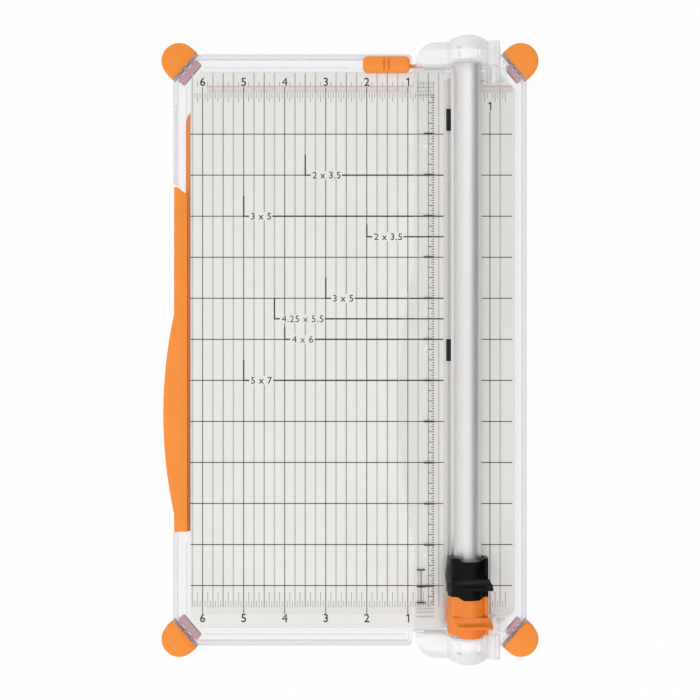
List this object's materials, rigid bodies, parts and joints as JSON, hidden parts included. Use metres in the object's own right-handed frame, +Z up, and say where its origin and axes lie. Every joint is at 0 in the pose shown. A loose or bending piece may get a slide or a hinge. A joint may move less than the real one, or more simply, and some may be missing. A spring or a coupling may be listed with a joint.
{
  "type": "paper trimmer",
  "caption": "Flat clear bed with a printed inch grid, a hinged tubular rail carrying a sliding blade and scorer, soft corner feet and a swing-out ruler arm.",
  "frame": {"origin": "on the table, under the middle of the object's box", "axes": "+X to the user's right across the bed, +Y along the rail away from the user, +Z up"},
  "size_m": [0.2334, 0.3812, 0.0422],
  "materials": {
    "clear_plastic": "clear moulded plastic, polished",
    "bed_grey": "satin light grey sheet, screen printed",
    "strip_plastic": "soft satin plastic with a cutting groove",
    "clip_black": "satin black",
    "foot_rubber": "soft moulded orange rubber",
    "fence_plastic": "tinted clear plastic bar",
    "steel": "bright steel",
    "rail_aluminium": "satin anodised extrusion",
    "guide_plastic": "natural low friction plastic",
    "orange_plastic": "satin moulded orange",
    "black_plastic": "satin moulded black"
  },
  "bodies": {
    "base": {"base_tray": "clear_plastic", "bed_panel": "bed_grey", "cutting_strip": "strip_plastic", "strip_clips": "clip_black", "corner_foot_rear_left": "foot_rubber", "corner_foot_rear_right": "foot_rubber", "corner_foot_front_left": "foot_rubber", "corner_foot_front_right": "foot_rubber", "upper_fence": "fence_plastic", "lower_fence": "fence_plastic", "upper_fence_stub": "fence_plastic", "lower_fence_stub": "fence_plastic", "upper_hinge_bracket": "clear_plastic", "lower_hinge_bracket": "clear_plastic", "upper_hinge_pin": "guide_plastic", "lower_hinge_pin": "guide_plastic", "bracket_screws": "steel", "pivot_washer": "steel", "pivot_screw": "steel"},
    "rail": {"rail_tube": "rail_aluminium", "upper_rail_head": "clear_plastic", "lower_rail_head": "clear_plastic", "ruler_strip": "clear_plastic"},
    "cutter_guide": {"cutter_shoe": "guide_plastic", "cutter_spring": "steel"},
    "cutter": {"cutter_carriage": "orange_plastic", "cutter_cartridge": "black_plastic", "cutter_blade": "steel"},
    "scorer_guide": {"scorer_shoe": "guide_plastic", "scorer_spring": "steel"},
    "scorer": {"scorer_carriage": "black_plastic", "scorer_cartridge": "black_plastic", "scoring_tip": "black_plastic"},
    "arm": {"swing_arm": "orange_plastic"},
    "lock": {"lock_slider": "orange_plastic", "lock_pin": "orange_plastic"}
  },
  "joints": [
    {"name": "rail_lift", "type": "hinge", "parent": "base", "child": "rail", "pos_m": [0.0885, 0, 0.0155], "axis": [0, 1, 0], "range_deg": [0, 80]},
    {"name": "cutter_slide", "type": "slide", "parent": "rail", "child": "cutter_guide", "axis": [0, 1, 0], "range_m": [0, 0.3008]},
    {"name": "cutter_press", "type": "slide", "parent": "cutter_guide", "child": "cutter", "axis": [0, 0, -1], "range_m": [0, 0.0015], "stiffness_N_per_m": 800, "springref_m": -0.001, "deforming": ["cutter_spring"]},
    {"name": "scorer_slide", "type": "slide", "parent": "rail", "child": "scorer_guide", "axis": [0, 1, 0], "range_m": [0, 0.3008]},
    {"name": "scorer_press", "type": "slide", "parent": "scorer_guide", "child": "scorer", "axis": [0, 0, -1], "range_m": [0, 0.0015], "stiffness_N_per_m": 800, "springref_m": -0.001, "deforming": ["scorer_spring"]},
    {"name": "arm_swing", "type": "hinge", "parent": "base", "child": "arm", "pos_m": [-0.091, 0.14, 0.0042], "axis": [0, 0, 1], "range_deg": [-90, 0]},
    {"name": "lock_slide", "type": "slide", "parent": "base", "child": "lock", "axis": [-1, 0, 0], "range_m": [0, 0.008]}
  ],
  "couplings": [
    {"joint": "scorer_slide", "follows": "cutter_slide", "ratio": 1}
  ]
}
